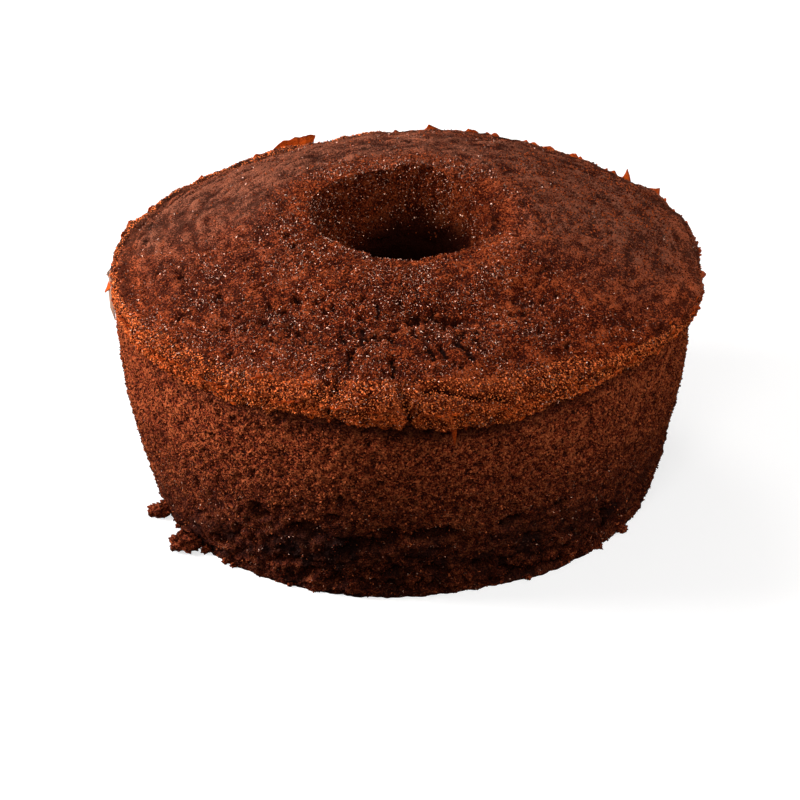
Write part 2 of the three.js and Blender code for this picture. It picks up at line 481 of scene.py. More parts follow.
def holeShade(turn, height, points):
    lit = holeLight["litDrop"] * nearTurn(turn, holeLight["lit"])
    depth = 1 - smoothStep(height + lit + heap(points, [holeLight["edge"]]), *holeLight["heights"])
    return 0.58 - 0.06 * nearTurn(turn, holeLight["worn"]) + 0.41 * depth


# Crust: dome, rim and the edge of the funnel, with a hidden underside

crustPlan = {
    "spinSteps": 76, "cuts": 9,
    "root": 3, "lip": 10, "rim": 16, "dome": 72, "edge": 20, "underside": 4,  # points along the section
    "coarse": ((21, 1.1, 0), (9.5, 0.8, 1)),  # lumps as cell size, height and seed
    "fine": ((4.6, 0.45, 2), (2.4, 0.4, 3), (1.5, 0.4, 4)),
    "lipRagged": ((6, 1.44, 21), (2.6, 1.12, 22)),
    "lipCrumbs": ((3.4, 0.6, 61), (2.1, 0.7, 62)),
    "warp": (2.6, (41, 42, 43)),  # cell size and seeds of the noise that bends pits and cracks
    "pits": {"large": (5.2, 0.75, 8), "small": (2.1, 0.45, 9), "edge": (0.40, 0.56), "depth": 2},
    "pitsFrom": {"height": 96, "radius": 37},
    "streaks": {"round": 9, "apart": 2.6, "seed": 4, "height": 1.4},  # rings of wrinkled skin
    "crackle": {"turn": -4, "radius": 87, "degrees": 46, "width": 13},
    "wrinkles": {"turn": -4, "radius": 47, "degrees": 26, "width": 8, "apart": 4.2, "height": 0.55},
    # where a painted sheen lies on the crest behind the hole
    "crestSheen": {"turn": 168, "radius": 41, "degrees": 22, "width": 6},
    "sunk": 0.6,  # mm that the skin lies in, under its lumps
    "zones": {  # turn and degrees wide
        "front": (0, 40), "shelter": (-150, 75), "rightStreaks": (85, 45), "rightSlopeShade": (85, 36),
        "frontTop": (-8, 65), "leftTop": (-85, 30), "backLeft": (-128, 42), "backRight": (148, 34),
        "porousFront": (-5, 48), "leftEdge": (-78, 46), "rightEdge": (60, 36),
    },
    "bands": {  # radii over which each begins
        "slope": (40, 60), "frontSlope": (36, 60), "backSlope": (44, 60), "holeRim": (37, 46),
        "rim": (104, 112), "frontRim": (106, 112), "outerRim": (108, 114),
    },
    "creases": (  # points as turn and height on the rim, width, depth
        (((-0.8, 102), (-0.2, 100), (0.3, 97.5)), 1.0, 2.6),
        (((0.3, 97.5), (0.6, 95), (0.9, 90), (1, 85)), 1.6, 4.8),
        (((4, 101.5), (5.5, 101.5), (7, 101)), 1.7, 3.4),
        (((8, 101), (11, 99.5), (13.8, 97.5)), 1.8, 3.6),
        (((16, 97), (17.2, 96), (18.3, 94)), 1.7, 3),
        (((-13.5, 103), (-12.8, 101), (-12.5, 99)), 1.4, 2.6),
        (((-17, 98.5), (-15.5, 98), (-14, 97.5)), 1.9, 2.2),
        (((-14, 91), (-13, 87)), 1.7, 2.6),
    ),
    "gaps": (  # two ends as turn and radius on the dome, width, depth
        (((-11, 81), (-10, 86)), 1.1, 2), (((-10.5, 88.5), (-8, 88)), 1.1, 2),
        (((-16, 85), (-13.5, 89.5)), 1.1, 2), (((-7.5, 68), (-7, 75.5)), 0.9, 1.6),
        (((-13, 95.5), (-11.5, 104.5)), 0.9, 1.8), (((-2.5, 99.5), (-2, 108.5)), 1.1, 2.4),
        (((-25, 90), (-22, 94)), 1.1, 1.8), (((-5, 81.5), (-3, 82)), 0.9, 1.6),
        (((3, 74), (5, 74.5)), 1.1, 1.8), (((2.5, 83), (4.5, 87)), 1.2, 2.2),
        (((4.5, 87.5), (8.5, 90.5)), 0.9, 1.8), (((10.5, 77), (13, 77)), 1.2, 2),
        (((9, 95), (9.5, 102)), 1.1, 2.2), (((13, 93), (14.5, 101)), 1.3, 2.2),
        (((14.5, 102), (15, 104.5)), 0.9, 1.8), (((19.5, 86), (20, 88.5)), 0.9, 1.8),
    ),
}


def crustSection(form, plan):  # each stretch is a bow with two handles between its ends
    rim = (form["rimRadius"], form["rimHeight"])
    lipEdge = (form["wallTopRadius"] + 0.6, form["wallTopHeight"] + 2)
    lipRoot = (form["wallTopRadius"] - 5, form["wallTopHeight"] + 5)
    edge = (26.8, 93.5)
    tuck = (32, 95)
    return (
        bow(lipRoot, lipRoot, lipEdge, lipEdge, plan["root"])
        + bow(lipEdge, (118.8, 85.0), (119.4, 87.5), rim, plan["lip"])
        + bow(rim, (119.6, 96.5), (117.3, 98.3), form["shoulder"], plan["rim"])
        + bow(form["shoulder"], (100, 105.5), (58, 119), form["crest"], plan["dome"])
        + bow(form["crest"], (34.0, 120.6), (32.6, 106), edge, plan["edge"])
        + bow(edge, (26.8, 92), (29, 92), tuck, plan["underside"])
        + bow(tuck, (60, 108), (100, 96), lipRoot, plan["underside"])
    )


def formCrust(form, plan, ring):  # large forms, with the lip drawn up where the crust ends higher
    turn, radius, height, points = (ring[key] for key in ("turn", "radius", "height", "points"))
    inHole = 1 - smoothStep(radius, form["neck"][0], form["crest"][0])
    shoulderHeight = form["shoulder"][1]
    onTop = smoothStep(height, form["wallTopHeight"], shoulderHeight) * (1 - inHole)
    nearRim = smoothStep(radius, *form["rimBelt"])
    lipTall = shoulderHeight - form["wallTopHeight"] - 2
    drawn = (shoulderHeight - lipHeight(form, turn) + heap(points, plan["lipRagged"])) / lipTall
    upward = np.maximum(shoulderHeight - height, 0) * (1 - drawn) * nearRim
    upward += onTop * sumOf(form["swells"], turn, radius)
    waveAcross, waveOut = form["rimWave"]
    outward = lumps(points * (1, 1, 0), waveAcross) * waveOut * (1 - inHole)
    outward += form["rimShift"] * np.sin(np.radians(turn)) * smoothStep(radius, 60, 112)
    outward += nearRim * sumOf(form["lobes"], turn, height)
    outward -= nearRim * sum(deep * nearTurn(turn, zone) for *zone, deep in form["rimDents"])
    atRim = fade((radius - form["rimRadius"]) / 5, (height - form["rimHeight"]) / 8)
    for *zone, out, up in form["flakes"]:
        pull = 0.4 * atRim * nearTurn(turn, zone)  # the rest is thin flakes
        outward += pull * out
        upward += pull * up
    return outward, upward


def cutCracks(plan, ring, formed, warp, shown):  # how open each point is, and how deep it is cut
    turn, radius = ring["turn"], ring["radius"]
    crack = np.zeros(len(formed))
    cut = np.zeros(len(formed))
    farAway = 500
    cracks = [(formed[:, 2], farAway * (radius < 95), *crease) for crease in plan["creases"]]
    cracks += [(radius, farAway * (radius > 110), *gap) for gap in plan["gaps"]]
    for place, outside, spots, wide, deep in cracks:
        path = []
        for spotTurn, spotPlace in spots:
            gap = np.hypot(roundGap(turn, spotTurn) * 2, place - spotPlace) + outside + farAway * ~shown
            path.append(formed[np.argmin(gap)])
        close = fade(pathDistance(formed + 1.3 * warp, path) / wide)
        crack = np.maximum(crack, smoothStep(close, 0.15, 0.65))
        cut = np.maximum(cut, close * deep)
    return crack, cut


def makeCrust(form, plan):
    section = crustSection(form, plan)
    mesh = spinRing("crust", section, plan)
    ring = readRing(mesh, section)
    turn, radius, height, points = (ring[key] for key in ("turn", "radius", "height", "points"))
    shown = (ring["station"] > 0) & (ring["station"] < len(section) - 2 * plan["underside"])
    near = {name: nearTurn(turn, zone) for name, zone in plan["zones"].items()}
    past = {name: smoothStep(radius, *band) for name, band in plan["bands"].items()}
    outward, upward = formCrust(form, plan, ring)
    formed = ringPoints(turn, radius + outward, height + upward)

    # crags, pits, wrinkles and cracks along the surface normal
    sheltered = near["shelter"] * past["slope"]  # smoother back and left
    streak = plan["streaks"]
    around = np.radians(turn)
    ringwise = streak["round"] * np.stack((np.cos(around), np.sin(around)), 1)
    streaks = lumps(np.column_stack((ringwise, radius / streak["apart"])), 1, streak["seed"])
    streaky = np.max((sheltered, 0.6 * near["rightStreaks"], np.full(len(turn), 0.25)), 0) * past["slope"]
    inCrackle = nearSpot(turn, radius, plan["crackle"]) * smoothStep(lumps(points, 14, 12), -0.35, 0.2)
    warpAcross, warpSeeds = plan["warp"]
    warp = np.stack([lumps(points, warpAcross, seed) for seed in warpSeeds], 1)
    pits = plan["pits"]
    pitted = heap(points + 1.6 * warp, [pits["large"]]) + heap(points, [pits["small"]])
    pit = smoothStep(pitted + 0.46 * inCrackle - 0.12 * sheltered, *pits["edge"])
    pit *= (height > plan["pitsFrom"]["height"]) * (radius > plan["pitsFrom"]["radius"])
    wrinkles = plan["wrinkles"]
    ripple = np.sin(2 * math.pi * (radius + 3 * lumps(points, 12, 15)) / wrinkles["apart"])
    ripple *= wrinkles["height"] * nearSpot(turn, radius, wrinkles)
    crack, cut = cutCracks(plan, ring, formed, warp, shown)
    crags = heap(points, plan["fine"]) * (1 - 0.45 * sheltered + 0.7 * inCrackle)
    onLip = fade((height - 90) / 8) * (radius > 108) * (0.35 + 0.65 * near["front"])
    lipCrumbs = heap(points, plan["lipCrumbs"]) * onLip
    swell = heap(points, plan["coarse"]) + crags + lipCrumbs + streak["height"] * streaks * streaky + ripple
    swell -= pits["depth"] * pit + cut + plan["sunk"]
    placeRing(mesh, ring, outward, upward, swell * shown)

    # tone with painted shade in places, and where the skin is darkened (pits, cracks and painted shade),
    # porous, painted with sheen, browned or painted as back-lit
    frontTop = near["frontTop"] * past["frontSlope"] * (1 - past["frontRim"])
    leftTop = near["leftTop"] * (1 - past["rim"])
    sideRim = past["rim"] * smoothStep(height, 89, 93) * (1 - near["front"])
    backLeftRim = near["backLeft"] * past["outerRim"]
    patchy = near["backRight"] * past["backSlope"]
    patchy *= smoothStep(lumps(points, 7, 81) + 0.5 * streaks, 0, 0.5)
    tone = 0.5 + 0.5 * crags + 0.55 * streaks * streaky + 0.4 * lipCrumbs
    # painted shade lowers the tone on the front and left of the dome and on the back-left rim, and partly
    # on the upper rim at the sides
    tone -= 0.1 * frontTop + 0.1 * leftTop + 0.13 * sideRim + 0.3 * patchy + 0.25 * backLeftRim
    addMark(mesh, "tone", tone)
    crestStation = plan["root"] + plan["lip"] + plan["rim"] + plan["dome"]
    inWall = smoothStep(ring["station"], crestStation + 1, crestStation + 4)
    hollow = 0.8 * smoothStep(-lipCrumbs, 0.22, 0.5)
    rightSlopeShade = 0.68 * near["rightSlopeShade"] * (1 - past["holeRim"])
    # painted shade: darker in pits, cracks and the lip's hollows, on the slope right of the hole and down
    # the hole; the dark patches are the skin's own
    dark = np.max((0.9 * pit, crack, hollow, rightSlopeShade, 0.4 * patchy), 0) * shown
    addMark(mesh, "pit", np.maximum(dark, inWall * holeShade(turn, height, points)))
    porous = np.max((inCrackle, 0.7 * frontTop, 0.8 * onLip), 0) * near["porousFront"]
    addMark(mesh, "porous", porous * shown)
    toRight = turn > 0
    farSide = smoothStep(np.abs(turn), 60 - 20 * toRight, 110 - 12 * toRight) * past["slope"]
    crestSheen = nearSpot(turn, radius, plan["crestSheen"])
    # painted sheen on the back, the far sides and the crest behind the hole, less on the dark patches
    paintedSheen = np.max((sheltered, 0.2 * inCrackle, farSide, crestSheen), 0) * (1 - inWall) * (1 - 0.7 * patchy)
    addMark(mesh, "paintedSheen", paintedSheen * (0.95 + 0.5 * streaks + 0.5 * lumps(points, 3.2, 71)))
    atSides = np.maximum(near["leftEdge"], near["rightEdge"])
    onRim = radius > 110
    lipBand = fade((height - 88 + atSides) / (5.5 - 3 * atSides)) * onRim
    # painted light: a thin bright line on the far rim, for its thin edge lit from behind
    backlitRim = 0.35 * farSide * fade((height - 95) / 2.5) * onRim * (1 - 0.8 * backLeftRim)
    brownedAndBacklit = np.max((lipBand, backlitRim, 0.22 * sideRim), 0)
    addMark(mesh, "baked", brownedAndBacklit * (0.85 + 0.25 * atSides + 0.9 * lumps(points, 7, 31)))
    unrollRing(mesh, ring, len(section))
    return addPiece("crust", mesh, crustSkin, "cake")


crust = makeCrust(cakeForm, crustPlan)

# Crumb: the side wall down to the foot, and the underside

crumbPlan = {
    "spinSteps": 80, "cuts": 9,
    "wall": 102, "top": 6, "inside": 3, "base": 6,  # points along the section
    "topHeight": 94, "underLip": 1.5,  # the hidden top ends this far under the lip
    "lumps": ((21, 0.6, 0), (9.5, 0.5, 1), (4.6, 0.55, 2), (2.5, 0.6, 3), (1.5, 0.55, 4)),
    "pits": {"size": 3, "seed": 5, "edge": (0.36, 0.62), "depth": 1.3},
    "hollows": {"size": 8, "seed": 6, "edge": (0.44, 0.58), "depth": 3.2},
    "sunk": 0.3,
    "tearDepth": 3.2,
    "tearEdge": ((6, 0.5, 9), (2.8, 0.5, 13)),
    "caves": (  # small tears that only the surface has, as turn, height, degrees wide, mm tall, amount
        (-15, 40.3, 1.8, 2.6, 2.4), (-4, 33, 1.8, 4.4, 2.4), (-13.5, 21.5, 1.8, 3.4, 2.4),
        (-13.5, 49.7, 1.3, 2.6, 2.4), (-5, 58.7, 1.3, 2, 2.2), (4, 14.5, 3, 2.8, 2.4),
        (-26, 15, 3, 2.8, 2.4), (33, 35, 3, 2.8, 2.2), (0.5, 20, 2, 2.4, 2.2),
    ),
    "darkPatch": ((-20, 30, 16, 16, 0.22),),
    "zones": {  # turn and degrees wide
        "front": (0, 62), "shadedFront": (0, 48), "underLip": (2, 52),
        "litLeft": (-78, 27), "lighterFoot": (20, 55),
    },
}


def crumbSection(form, plan):
    foot = (form["footRadius"], 0)
    wallTop = (form["wallTopRadius"] + 0.4, plan["topHeight"])
    inner = (34, 98)
    innerFoot = (34, 0)
    return (
        bow(foot, (110, 31), (114.8, 62), wallTop, plan["wall"])
        + bow(wallTop, (108, 93), (60, 101), inner, plan["top"])
        + bow(inner, inner, innerFoot, innerFoot, plan["inside"])
        + bow(innerFoot, innerFoot, foot, foot, plan["base"])
    )


def makeCrumb(form, plan):
    section = crumbSection(form, plan)
    mesh = spinRing("crumb", section, plan)
    ring = readRing(mesh, section)
    turn, height, points = ring["turn"], ring["height"], ring["points"]
    near = {name: nearTurn(turn, zone) for name, zone in plan["zones"].items()}
    onWall = ring["station"] <= plan["wall"]
    overFoot = smoothStep(height, 0, 3)
    low = 1 - smoothStep(height, 8, 38)
    frontLow = low * (0.45 + 0.55 * near["front"])

    # the wave of the rim, tears and a ragged foot, with the hidden top under the lip
    lip = lipHeight(form, turn)
    upward = -smoothStep(height, form["wallTopHeight"], plan["topHeight"])
    upward *= plan["topHeight"] - plan["underLip"] - lip
    torn = sumOf(form["tears"] + plan["caves"], turn, height) * (1 + heap(points, plan["tearEdge"]))
    tear = smoothStep(torn, 1.3, 1.8)
    waveAcross, waveOut = form["rimWave"]
    outward = lumps(points * (1, 1, 0), waveAcross) * waveOut * onWall
    outward += 0.6 * form["rimShift"] * np.sin(np.radians(turn)) * smoothStep(height, 40, 90)
    outward -= plan["tearDepth"] * tear * overFoot * onWall
    footEdge = 0.9 * lumps(points * (1, 1, 0.4), 6, 10) + 0.9 * lumps(points, 2.4, 11)
    outward += footEdge * (1 - smoothStep(height, 1, 12)) * onWall

    # lumps, pits and hollows along the surface normal
    relief = [tall * lumps(points, across, seed) for across, tall, seed in plan["lumps"]]
    coarse, fine = sum(relief[:2]), sum(relief[2:])
    pits, hollows = plan["pits"], plan["hollows"]
    pit = smoothStep(lumps(points, pits["size"], pits["seed"]) + 0.16 * frontLow, *pits["edge"])
    hollow = lumps(points * (1, 1, 1.5), hollows["size"], hollows["seed"]) + 0.22 * frontLow
    hollow = smoothStep(hollow, *hollows["edge"]) * low
    swell = coarse + fine * (0.85 + 0.9 * frontLow)
    swell -= pits["depth"] * pit + hollows["depth"] * hollow + plan["sunk"]
    placeRing(mesh, ring, outward, upward, swell * overFoot * onWall)

    # tone, and the dark crumb low down and in front, partly damp crumb and partly painted shade, with a
    # painted shadow under the lip
    addMark(mesh, "tone", 0.5 + 0.2 * relief[2] + 0.5 * (relief[3] + relief[4]) - 0.10 * frontLow)
    lowDarkening = 0.8 + 0.07 * near["shadedFront"] + 0.35 * lumps(points, 12, 16)
    lowDarkening += 0.4 * frontLow * lumps(points, 4.5, 18)
    # darker low down and in front, partly damp crumb and partly painted shade, less so on the lit left
    moist = (1 - smoothStep(height, 5, 82)) * lowDarkening
    moist *= 1 - 0.35 * near["litLeft"] * smoothStep(height, 10, 40)
    moist *= 1 - 0.25 * near["lighterFoot"] * (1 - smoothStep(height, 5, 22))
    moist += sumOf(plan["darkPatch"], turn, height)
    # painted shadow under the lip
    underLip = 0.85 * near["underLip"] * fade((height + upward - lip + 2) / 5)
    # painted shade in pits, hollows and tears
    addMark(mesh, "pit", np.max((0.7 * pit, 0.85 * hollow, 0.93 * tear, moist, underLip), 0))
    unrollRing(mesh, ring, len(section))
    return addPiece("crumb", mesh, crumbSkin, "cake")


crumb = makeCrumb(cakeForm, crumbPlan)

# Hole: torn crumb from under the crust's edge down to the foot

holePlan = {
    "spinSteps": 36, "cuts": 9,
    "funnel": 8, "wall": 60, "base": 2, "inside": 6,  # points along the section
    "lumps": ((9.5, 0.8, 0), (4.6, 0.9, 1), (2.3, 0.7, 2)),
    "pits": {"size": 3.2, "seed": 5, "edge": (0.34, 0.6), "depth": 1.2},
}


def holeSection(form, plan):
    top = (30, 95)
    step = (26.4, 92.8)
    neck = form["neck"]
    holeFoot = (form["holeFootRadius"], 0)
    outerFoot = (33.8, 0)
    outerTop = (33, 93)
    return (
        bow(top, (29, 95), (27, 94), step, plan["funnel"] // 2)
        + bow(step, (26, 92), (25.2, 91), neck, plan["funnel"] // 2)
        + bow(neck, (25, 60), (27, 20), holeFoot, plan["wall"])
        + bow(holeFoot, holeFoot, outerFoot, outerFoot, plan["base"])
        + bow(outerFoot, outerFoot, outerTop, outerTop, plan["inside"])
    )


def makeHole(form, plan):
    section = holeSection(form, plan)
    mesh = spinRing("holeCrumb", section, plan)
    ring = readRing(mesh, section)
    turn, height, points = ring["turn"], ring["height"], ring["points"]
    shown = (ring["station"] > 0) & (ring["station"] < plan["funnel"] + plan["wall"])
    fine = heap(points, plan["lumps"])
    pits = plan["pits"]
    pit = smoothStep(lumps(points, pits["size"], pits["seed"]), *pits["edge"])
    swell = (fine - pits["depth"] * pit) * shown * smoothStep(height, 0, 3)
    placeRing(mesh, ring, 0, 0, swell)
    addMark(mesh, "tone", 0.46 + 0.4 * fine)
    # painted shade: darker in pits and down the hole
    addMark(mesh, "pit", np.maximum(0.85 * pit, holeShade(turn, height, points)))
    unrollRing(mesh, ring, len(section))
    addPiece("holeCrumb", mesh, crustSkin, "cake")


makeHole(cakeForm, holePlan)

# Loose grains: crumbs on the wall and moist grains on the crust, each a small faceted lump

grainPlans = {  # size in mm; proud is the share above the surface; pitShy keeps grains out of pits
    "wall": {"count": 24500, "size": (0.5, 1.2), "proud": 0.2, "pitShy": 0.9, "vary": 1.5, "seed": 11},
    "crust": {"count": 24500, "size": (0.45, 1.05), "proud": 0.14, "pitShy": 0.9, "vary": 1.5, "seed": 12},
    "moist": {"count": 20500, "size": (0.4, 0.9), "proud": 0.22, "pitShy": 0.9, "vary": 1.3, "seed": 14},
    "lip": {"count": 11900, "size": (0.45, 1), "proud": 0.18, "pitShy": 0.9, "vary": 1.8, "seed": 15},
    "foot": {"count": 6000, "size": (0.35, 0.7), "proud": 0.24, "pitShy": 0.7, "vary": 1.3, "seed": 16},
    "hole": {"count": 4500, "size": (0.45, 0.95), "proud": 0.24, "pitShy": 0, "vary": 1, "seed": 13},
}

grainZones = {  # turn and degrees wide
    "wallUnderLip": (8, 48), "footFront": (5, 60),
    "rimFront": (0, 42), "rimRight": (50, 22), "rimBackLeft": (-128, 42), "besideHole": (82, 38),
    "lipFront": (0, 40), "lipLeft": (-72, 17), "lipRight": (48, 20),
    "smoothBack": (-150, 80), "crumblyFront": (0, 55),
    "moistFront": (-15, 60), "moistRim": (5, 32), "dryHole": (80, 40),
}


def nearZone(turn, name):
    return nearTurn(turn, grainZones[name])


def pickSpots(piece, plan, weigh):  # random faces, more where weigh is larger
    mesh = piece.data
    pits = readAll(mesh.attributes["pit"].data, "value")
    corners = readAll(mesh.loops, "vertex_index", 1, int).reshape(-1, 4)
    first = corners.argmin(1)[:, None]
    corners = np.take_along_axis(corners, (first + np.arange(4)) % 4, 1)  # each face from its lowest corner
    normals, areas = readAll(mesh.polygons, "normal", 3), readAll(mesh.polygons, "area")
    quads = readAll(mesh.vertices, "co", 3)[corners] / mm
    middles = quads.mean(1)
    radius, height = np.hypot(middles[:, 0], middles[:, 1]), middles[:, 2]
    weights = areas * weigh(turnOf(middles), radius, height, normals)
    weights *= 1 - plan["pitShy"] * smoothStep(pits[corners].mean(1), 0.3, 0.8)
    draw = np.random.default_rng(plan["seed"])
    chosen = draw.choice(len(areas), plan["count"], replace=False, p=weights / weights.sum())
    across, along = draw.random((2, plan["count"], 1))
    a, b, c, d = quads[chosen].transpose(1, 0, 2)
    spots = (a * (1 - across) + b * across) * (1 - along) + (d * (1 - across) + c * across) * along
    return spots, normals[chosen], draw


def grainShape():
    bm = bmesh.new()
    bmesh.ops.create_uvsphere(bm, u_segments=4, v_segments=2, radius=0.5)
    bm.verts.index_update()
    corners = np.array([v.co[:] for v in bm.verts])
    faces = np.array([[v.index for v in f.verts] for f in bm.faces])
    bm.free()
    return corners, faces


def scatterGrains(kind, piece, weigh, lighten, material):
    name, plan = kind + "Grains", grainPlans[kind]
    centres, normals, draw = pickSpots(piece, plan, weigh)
    count = len(centres)
    corners, faces = grainShape()
    small, large = plan["size"]
    size = small + (large - small) * draw.random(count) ** 2
    shape = corners + draw.uniform(-0.16, 0.16, (count, len(corners), 3))
    shape = shape * draw.uniform(0.7, 1.3, (count, 1, 3))
    turns, _ = np.linalg.qr(draw.normal(size=(count, 3, 3)))
    placed = np.einsum("nij,nkj->nki", turns, shape) * size[:, None, None]
    placed += (centres + normals * (plan["proud"] * size)[:, None])[:, None]
    placed[:, :, 2] = np.maximum(placed[:, :, 2], 0)
    every = (faces[None] + len(corners) * np.arange(count)[:, None, None]).reshape(-1, 3)
    mesh = bpy.data.meshes.new(name)
    mesh.from_pydata(placed.reshape(-1, 3) * mm, [], every)
    bm = bmesh.new()
    bm.from_mesh(mesh)
    bmesh.ops.recalc_face_normals(bm, faces=bm.faces)
    bm.to_mesh(mesh)
    bm.free()
    tone = 0.5 + plan["vary"] * draw.uniform(-0.5, 0.5, count) + lighten(centres)
    addMark(mesh, "tone", np.repeat(tone, len(corners)))
    across = math.ceil(math.sqrt(count))  # each grain has its own little square of the baked picture
    cell = np.stack((np.arange(count) % across, np.arange(count) // across), 1)
    flat = (cell[:, None] + 0.5 + 0.8 * corners[None, :, :2]) / across
    addBakeMap(mesh, flat.reshape(-1, 2)[readAll(mesh.loops, "vertex_index", 1, int)])
    addPiece(name, mesh, material)


# How light the grains are, by where they lie


# painted shadow under the lip; darker low down, partly damp crumb and partly painted shade
def lightenWall(spots):  # darker low down and under the lip
    turn, height = turnOf(spots), spots[:, 2]
    underLip = nearZone(turn, "wallUnderLip") * fade((height - lipHeight(cakeForm, turn) + 3) / 5)
    crumbly = smoothStep(lumps(spots, 3, 91), 0.1, 0.4) * (1 - smoothStep(height, 18, 42))
    return -0.75 * (1 - smoothStep(height, 5, 82)) - 0.5 * underLip + 0.7 * crumbly


# painted shade on the back-left rim and on the slope right of the hole
def lightenCrust(spots):  # brighter on the front rim, darker further round it and right of the hole
    turn, radius = turnOf(spots), np.hypot(spots[:, 0], spots[:, 1])
    dim = (nearZone(turn, "rimRight") + nearZone(turn, "rimBackLeft")) * (radius > 106)
    dim += 0.8 * nearZone(turn, "besideHole") * (radius < 42)
    return (radius > 112) * (0.4 * nearZone(turn, "rimFront") - 0.2) - 0.35 * dim


def lightenLip(spots):  # brightest in front and at the far left
    turn = turnOf(spots)
    sides = 0.4 * nearZone(turn, "lipLeft") + 0.3 * nearZone(turn, "lipRight")
    return 0.37 * nearZone(turn, "lipFront") + sides - 0.1


def lightenFoot(spots):
    return np.full(len(spots), -0.3)


# painted shade: grains darker deeper in the hole
def lightenHole(spots):
    return -0.5 * (1 - smoothStep(spots[:, 2], 94, 112))


# How thickly the grains lie


def weighWall(turn, radius, height, normals):
    return (radius > 90) * (height > 0.3) * (normals[:, 2] > -0.7) * (1 + 0.4 * (height < 20))


def weighCrust(turn, radius, height, normals):
    quiet = smoothStep(nearZone(turn, "smoothBack"), 0.2, 0.6) * smoothStep(radius, 42, 62)
    quiet *= 1 - smoothStep(radius, 108, 114)
    bare = np.maximum(smoothStep(turn, 22, 50), smoothStep(-turn, 85, 112))
    onRim = smoothStep(radius, 105, 114) * (1.6 * nearZone(turn, "crumblyFront") - 0.5 - 0.45 * bare)
    return (height > 82) * (1 - 0.95 * quiet) * (1 + onRim)


def weighMoist(turn, radius, height, normals):  # gathered in patches, most along a band in front
    quiet = smoothStep(np.abs(roundGap(turn, -10)), 38, 80) * smoothStep(radius, 42, 58)
    front = nearZone(turn, "moistFront")
    gathered = 0.14 + smoothStep(lumps(ringPoints(turn, radius, height), 13, 51), -0.15, 0.35)
    gathered *= 1 - 0.75 * nearZone(turn, "dryHole") * (radius < 46)
    banded = 1.8 * fade((radius - 86) / 12)
    banded += 0.9 * smoothStep(radius, 106, 112) * nearZone(turn, "moistRim")
    return (height > 82) * (1 - 0.93 * quiet) * gathered * (1 + front + front * banded)


def weighLip(turn, radius, height, normals):
    front = nearZone(turn, "lipFront")
    thin = smoothStep(turn, 20, 45)  # only a line along the edge to the right
    above = height - lipHeight(cakeForm, turn) - (0.6 + 1.4 * front) * (1 - thin)
    spread = (1.5 + 2.9 * front) * (1 - 0.45 * thin)
    return (radius > 112) * fade(above / spread) * (normals[:, 2] > -0.6)


def weighFoot(turn, radius, height, normals):
    low = 1 - smoothStep(height, 20, 60) + 1.5 * (1 - smoothStep(height, 1, 4))
    return (radius > 90) * (height > 0.3) * low * (0.3 + nearZone(turn, "footFront"))


def weighHole(turn, radius, height, normals):
    reach = 99 - 11 * nearTurn(turn, holeLight["lit"])  # glints go deeper on the left
    lively = 1 - 0.85 * nearZone(turn, "dryHole")
    return (radius < 36) * smoothStep(height, reach - 3, reach + 3) * lively


scatterGrains("wall", crumb, weighWall, lightenWall, crumbGrain)
scatterGrains("crust", crust, weighCrust, lightenCrust, crustGrain)
scatterGrains("moist", crust, weighMoist, lightenCrust, moistGrain)
scatterGrains("lip", crust, weighLip, lightenLip, bakedGrain)
scatterGrains("foot", crumb, weighFoot, lightenFoot, moistGrain)
scatterGrains("hole", crust, weighHole, lightenHole, moistGrain)

# Thin flakes that stand or hang from the crust's edge, each rooted in the crust

flakePlan = {
    "thick": 0.4, "tuck": 1.2, "column": 0.8,
    "edges": {  # pull outward, upward at the front and back, and upward at the sides
        "top": (0.49, 0.87, 0), "side": (1, 0.1, 0.1), "lip": (0.5, -1, -1),
    },
    "hook": 1.6, "bulge": 0,  # mm that a wide flake's first end leans past its root, and that it swells
    "named": (  # turn, edge, mm wide, heights as the turn grows, outward, upward, tone
        (-158.3, "top", 16.5, (3.4, 3.9, 3.2, 3.5, 2.7, 2.8, 1.6, 0.2), 0.2, 1, 0.6),
        (172.6, "top", 5.6, (0.2, 0.8, 1.2, 1.6, 2.8, 0.8, 0.2), 0.1, 1, 0.5),
        (148, "top", 6, (0.2, 1.0, 1.4, 0.8, 0.2), 0.3, 0.9, 0.5),
        (142, "top", 5, (0.3, 1.6, 1.2, 0.3), 0.3, 0.9, 0.5),
        (126.5, "top", 7, (0.3, 1.8, 2.8, 3.4, 4.6, 1.6, 0.2), 0.3, 1, 0.6),
        (118.6, "top", 8, (0.4, 2.4, 1.6, 1.0, 0.6, 0.2), 0.6, 0.8, 0.5),
        (-87, "side", 8, (0.4, 1.4, 2.4, 3.8, 5.6, 2.0, 0.3), 0.65, -0.78, 0.65),
        (-119.3, "top", 2.4, (0.2, 1.6, 0.8, 0.2), 0.3, 1, 0.6),
        (-108, "top", 2.6, (0.2, 0.8, 1.4, 0.3), 0.3, 1, 0.6),
        (-136, "top", 2.4, (0.2, 1.5, 0.6, 0.2), 0.3, 1, 0.5),
        (9.2, "lip", 2, (2, 4.5, 7, 5.5, 1.5), 0.02, -1, 0.3),
    ),
    "around": 320,  # small jags all round
    "seed": 21,
}

skinPlan = {  # a pale skin that peels off the rim
    "thick": 0.3, "tuck": 1.0, "column": 0.8,
    "edges": {"side": (1, 0.1, 0.1)},
    "hook": 0, "bulge": 1.4,
    "named": (
        (-91.5, "side", 11, (0.3, 0.8, 1.2, 1.4, 1, 0.4), 1, 0.2, 0.5),
        (-86.5, "side", 11, (3, 9, 13, 15.5, 16, 15, 10, 4), -0.05, -1, 0.6),
    ),
    "around": 0,
    "seed": 22,
}


